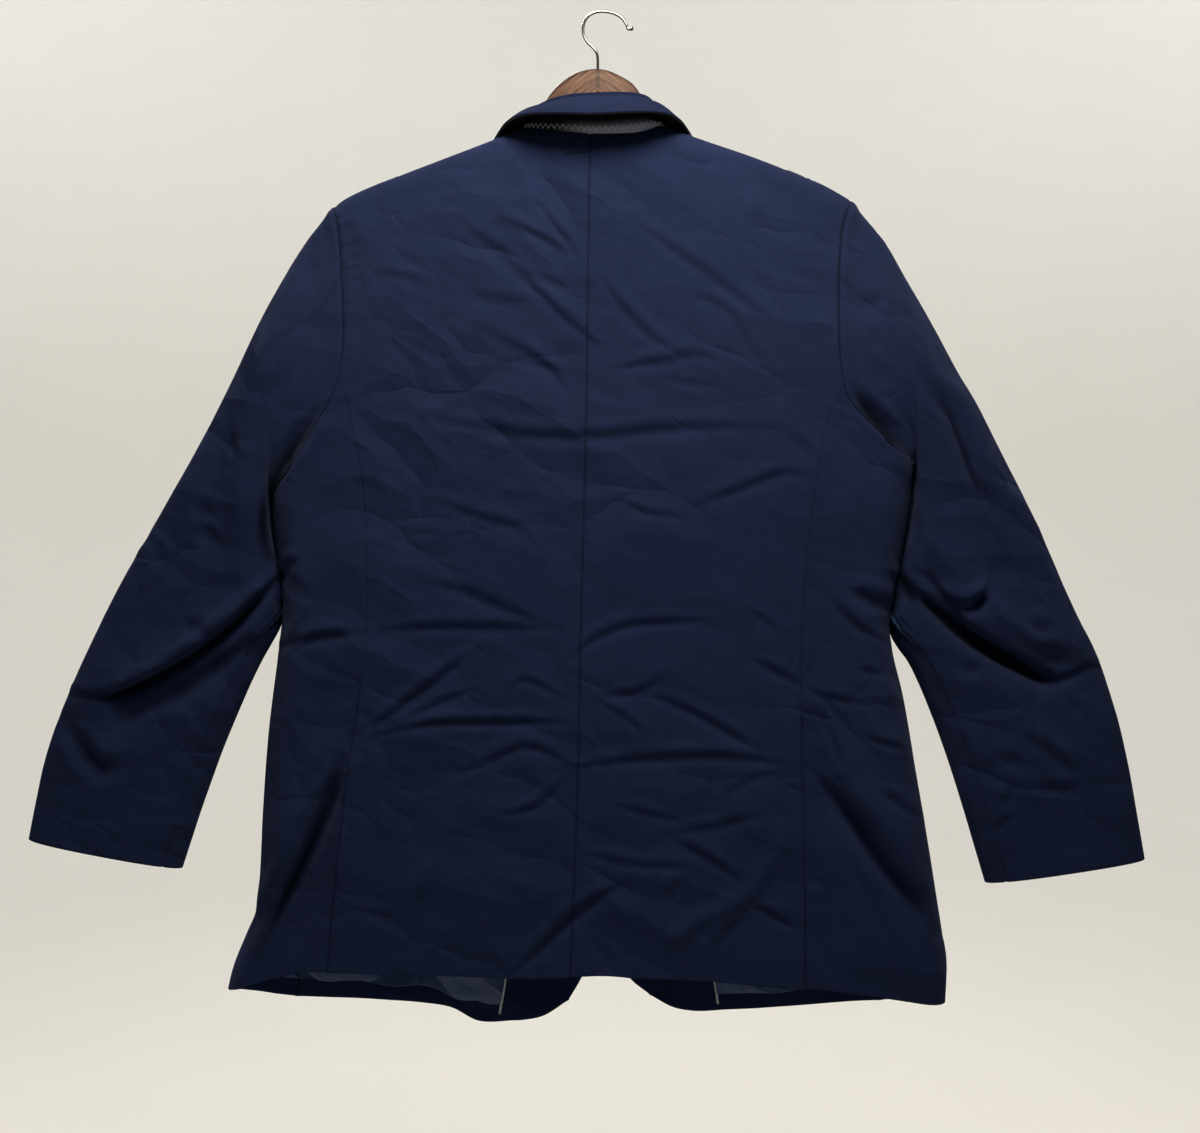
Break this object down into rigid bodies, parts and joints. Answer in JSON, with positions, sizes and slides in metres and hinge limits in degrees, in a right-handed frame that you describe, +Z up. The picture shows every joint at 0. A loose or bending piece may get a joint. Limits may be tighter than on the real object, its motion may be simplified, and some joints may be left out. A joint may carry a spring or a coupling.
{
  "type": "blazer on a wooden hanger",
  "caption": "Tailored wool blazer with double side vents, hung on a contoured wooden hanger by a metal hook, sleeves spread to the sides",
  "frame": {"origin": "the inner top of the hanger's hook, where it bears on a rail", "axes": "+X to the right of someone who looks at the garment's back, +Y from the back towards the garment's front, +Z up"},
  "size_m": [1.0744, 0.1097, 0.9798],
  "materials": {
    "navy_wool": "dark navy wool serge with a soft sheen",
    "lining_satin": "dark grey-navy satin lining",
    "melton": "grey melton felt with a zigzag stitch",
    "piping": "pale grey corded piping",
    "buttons": "dark navy horn-like plastic",
    "hanger_wood": "satin-lacquered walnut-brown wood",
    "hook_metal": "bright polished wire"
  },
  "bodies": {
    "root": {"back_left": "navy_wool", "back_right": "navy_wool", "breast_welt": "navy_wool", "button_cuff_left_1": "buttons", "button_cuff_left_2": "buttons", "button_cuff_left_3": "buttons", "button_cuff_left_4": "buttons", "button_cuff_right_1": "buttons", "button_cuff_right_2": "buttons", "button_cuff_right_3": "buttons", "button_cuff_right_4": "buttons", "button_front_1": "buttons", "button_front_2": "buttons", "collar": "navy_wool", "facing_left": "navy_wool", "facing_right": "navy_wool", "flap_left": "navy_wool", "flap_right": "navy_wool", "front_left": "navy_wool", "front_right": "navy_wool", "hanger": "hanger_wood", "hook": "hook_metal", "lapel_left": "navy_wool", "lapel_right": "navy_wool", "lining_left": "lining_satin", "lining_right": "lining_satin", "piping_left": "piping", "piping_right": "piping", "side_left": "navy_wool", "side_right": "navy_wool", "sleeve_top_left": "navy_wool", "sleeve_top_right": "navy_wool", "sleeve_under_left": "navy_wool", "sleeve_under_right": "navy_wool", "undercollar": "melton"}
  },
  "joints": []
}
